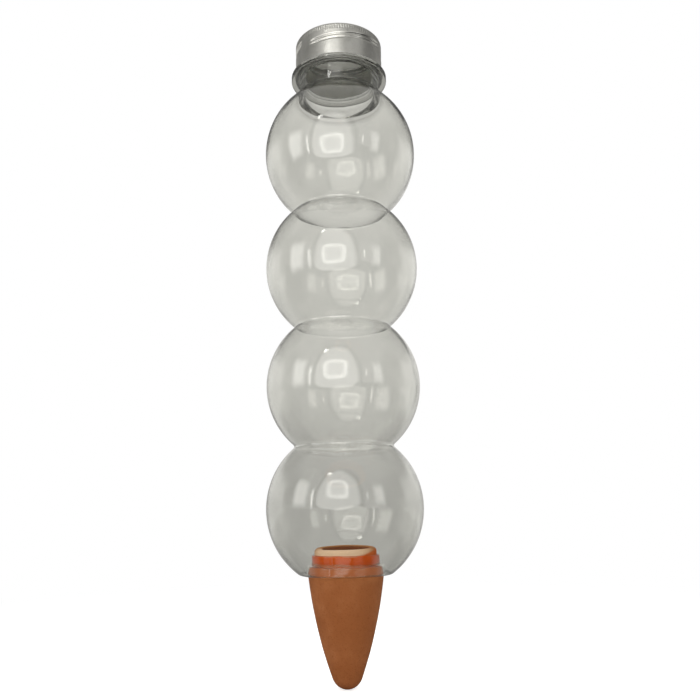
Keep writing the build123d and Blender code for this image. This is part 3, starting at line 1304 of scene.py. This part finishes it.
@dataclass
class Studio:
    """The floor, the lights, the white surroundings and the camera."""

    focal_length: float = 38.92
    sensor: float = 36.0
    clip: Point = (0.01, 20.0)
    distance: float = 0.3088
    eye_height: float = 0.02685
    eye_side: float = 0.0030
    pitch: float = math.radians(11.52)
    roll: float = math.radians(0.94)
    bounces: int = 20
    glossy_bounces: int = 8
    floor_radius: float = 3.0
    floor_sides: int = 96
    floor_paint: Colour = (0.80, 0.80, 0.79)
    floor_glow: float = 0.70
    floor_fade: Point = (0.10, 0.40)
    floor_seen_through: Ramp = ((0.3, 2.6), (0.54, 0.55))
    floor_mirrored: Ramp = ((-0.02, 0.30), (0.03, 0.65))
    wall_side: Point = (0.0, 0.3)
    wall_seen_through: Ramp = ((0.02, 0.18), (0.55, 0.75))
    wall_mirrored: Ramp = ((0.0, 0.22), (0.65, 0.92))
    wall_top: Ramp = ((0.3, 0.5), (1.0, 0.22))
    fill: float = 0.55
    fill_rise: Ramp = ((-0.2, 0.9), (0.8, 1.3))
    room: Ramp = ((0.2, 0.5), (0.60, 0.42))
    room_aside: Ramp = ((0.68, 0.92), (1.0, 0.1))
    ceiling: float = 0.5
    ceiling_rise: Point = (0.78, 0.95)
    panels: tuple[Panel, ...] = (
        Panel(
            "key_softbox", (-0.044, -0.25, 0.146), 0.18, 0.15, 4.0, 2.6,
            aim=(0.0, 0.0, 0.11), squareness=3.6, softness=0.25,
        ),
        Panel(
            "front_wall", (-0.0725, -0.34, 0.2655), 0.468, 0.529, 1.7, 1.7,
            aim=(-0.0725, 0.0, 0.2655), squareness=2.0, spring=-0.37, softness=0.25,
        ),
        Panel(
            "dark_surround", (-0.0917, -0.43, 0.302), 0.70, 0.77, 0.0, 0.0,
            aim=(-0.0917, 0.0, 0.302), squareness=2.2, spring=-0.3, softness=0.2,
        ),
        Panel("small_lamp", (-0.216, -0.416, 0.50), 0.07, 0.07, 9.0, 9.0),
        Panel("left_strip", (-0.475, -0.443, 0.17), 0.05, 0.36, 3.8, 3.8, softness=0.6),
        Panel("left_window", (-0.597, -0.257, 0.23), 0.36, 0.50, 2.4, 2.4, softness=0.6),
        Panel("right_strip", (0.36, -0.54, 0.206), 0.027, 0.16, 3.8, 3.8, softness=0.6),
        Panel("right_window", (0.52, -0.41, 0.21), 0.22, 0.42, 2.1, 2.1, softness=0.7),
    )

    def floor(self) -> None:
        """Lays the pale floor under the spike's point, bright to the eye, with the soft shadow kept."""
        bpy.ops.object.select_all(action="DESELECT")
        centre = (0.0, 0.0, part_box("terracotta_spike")[0].z)
        bpy.ops.mesh.primitive_circle_add(
            vertices=self.floor_sides, radius=self.floor_radius, fill_type="NGON", location=centre
        )
        floor = bpy.context.object
        floor.name = "studio_floor"
        recipe = Recipe.named("studio_floor")
        eye, mirrored, through = recipe.paths()
        radius, _, _ = recipe.round_axis()
        _, depth, _ = recipe.split(recipe.place)
        paint = recipe.node("ShaderNodeBsdfDiffuse", {"Color": self.floor_paint}).outputs["BSDF"]
        glow = recipe.node("ShaderNodeEmission", {"Strength": recipe.times(eye, self.floor_glow)})
        pale = recipe.node("ShaderNodeAddShader", {0: paint, 1: glow.outputs["Emission"]})
        distant = recipe.times(eye, recipe.between(radius, self.floor_fade))
        level = recipe.mix(mirrored, 1.0, recipe.between(depth, *self.floor_mirrored))
        level = recipe.mix(through, level, recipe.between(radius, *self.floor_seen_through))
        tone = recipe.blend(eye, WARM_WHITE, WHITE)
        white = recipe.node("ShaderNodeEmission", {"Color": tone, "Strength": level})
        shown = recipe.calc("MAXIMUM", recipe.calc("MAXIMUM", through, mirrored), distant)
        both = recipe.mix_shaders(shown, pale.outputs["Shader"], white.outputs["Emission"])
        floor.data.materials.append(recipe.finish(both))

    def surroundings(self) -> None:
        """Makes the world: white behind the object, a dim room elsewhere, an even fill for the light."""
        recipe = Recipe(bpy.data.worlds.new("studio_room"))
        eye, mirrored, through = recipe.paths()
        x, y, z = recipe.split(recipe.node("ShaderNodeTexCoord", {}).outputs["Generated"])
        wall = recipe.times(recipe.between(z, *self.wall_top), recipe.between(z, *self.wall_mirrored))
        aside = recipe.between(recipe.calc("ABSOLUTE", x), *self.room_aside)
        room = recipe.times(recipe.between(z, *self.room), aside)
        around = recipe.mix(recipe.between(y, self.wall_side), room, wall)
        around = recipe.mix(recipe.between(z, self.ceiling_rise), around, self.ceiling)
        level = recipe.times(recipe.between(z, *self.fill_rise), self.fill)
        level = recipe.mix(mirrored, level, around)
        level = recipe.mix(through, level, recipe.between(z, *self.wall_seen_through))
        tone = recipe.blend(eye, WARM_WHITE, WHITE)
        sky = recipe.node("ShaderNodeBackground", {"Color": tone, "Strength": recipe.mix(eye, level, 1.0)})
        bpy.context.scene.world = recipe.finish(sky.outputs["Background"])

    def camera(self) -> None:
        """Sets the camera where the photograph was taken from."""
        bpy.ops.object.select_all(action="DESELECT")
        bpy.ops.object.camera_add()
        camera = bpy.context.object
        camera.name = "photo_camera"
        camera.data.lens = self.focal_length
        camera.data.sensor_width = self.sensor
        camera.data.clip_start, camera.data.clip_end = self.clip
        place = Matrix.Translation((self.eye_side, -self.distance, self.eye_height))
        tilt = Matrix.Rotation(math.pi / 2 + self.pitch, 4, "X")
        camera.matrix_world = place @ tilt @ Matrix.Rotation(-self.roll, 4, "Z")
        bpy.context.scene.camera = camera

    def build(self) -> None:
        """Sets up the whole studio."""
        scene = bpy.context.scene
        scene.view_settings.view_transform = "Standard"
        scene.cycles.max_bounces = self.bounces
        scene.cycles.transmission_bounces = self.bounces
        scene.cycles.glossy_bounces = self.glossy_bounces
        self.floor()
        self.surroundings()
        for panel in self.panels:
            panel.build()
        self.camera()


def main() -> None:
    """Builds the pieces in order, then the studio, and logs each piece's face count."""
    logging.basicConfig(level=logging.INFO, format="%(message)s")
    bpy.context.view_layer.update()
    for part in (Bottle(), Spike(), Seal(), Cap(), Liner()):
        piece = part.build()
        log.info("built %s: %d faces on %s", piece.name, len(piece.data.polygons), part.body.value)
    Studio().build()


if __name__ == "__main__":
    main()
